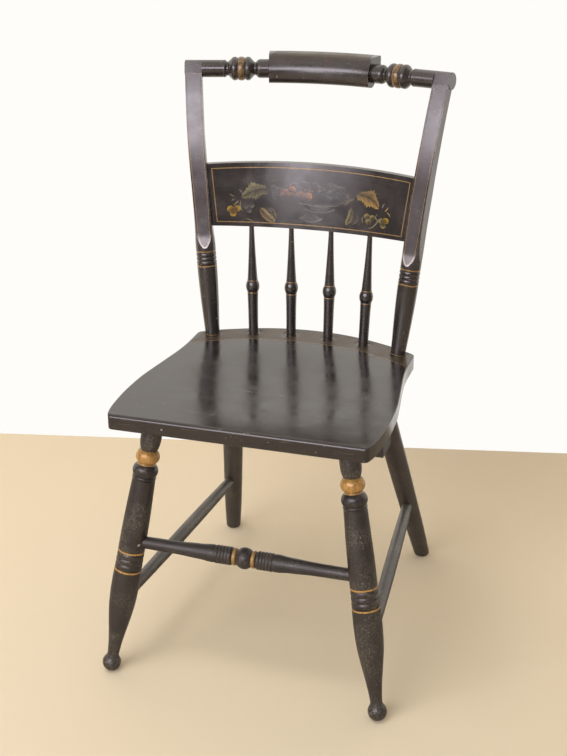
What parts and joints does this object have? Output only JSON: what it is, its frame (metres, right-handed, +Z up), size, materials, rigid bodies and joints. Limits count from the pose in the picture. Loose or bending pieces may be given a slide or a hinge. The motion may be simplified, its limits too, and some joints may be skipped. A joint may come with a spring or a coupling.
{
  "type": "side chair",
  "caption": "Painted wooden side chair with a solid plank seat, splayed turned legs, a spindle and slat back, and a turned crest rail with a pillow block.",
  "frame": {"origin": "centre of the bounding box at floor level", "axes": "+Z up from the floor, the sitter faces -Y, +X is to the right seen from in front"},
  "size_m": [0.4516, 0.5062, 0.8818],
  "materials": {
    "seat_plank": "satin black-brown paint, rubbed, with a thin gilt line across the rear deck",
    "seat_cleat": "flat dark paint",
    "cleat_screws": "slotted steel, darkened",
    "painted_wood": "satin black-brown paint with gilt lines and gilt turnings",
    "stencilled_slat": "satin black-brown paint with bronze-powder stencil and a gilt border"
  },
  "bodies": {
    "root": {"seat_plank": "seat_plank", "seat_cleat": "seat_cleat", "cleat_screws": "cleat_screws", "front_leg_left": "painted_wood", "front_leg_right": "painted_wood", "rear_leg_left": "painted_wood", "rear_leg_right": "painted_wood", "front_stretcher": "painted_wood", "side_stretcher_left": "painted_wood", "side_stretcher_right": "painted_wood", "post_left": "painted_wood", "post_right": "painted_wood", "crest_rail": "painted_wood", "back_slat": "stencilled_slat", "spindle_1": "painted_wood", "spindle_2": "painted_wood", "spindle_3": "painted_wood", "spindle_4": "painted_wood"}
  },
  "joints": []
}
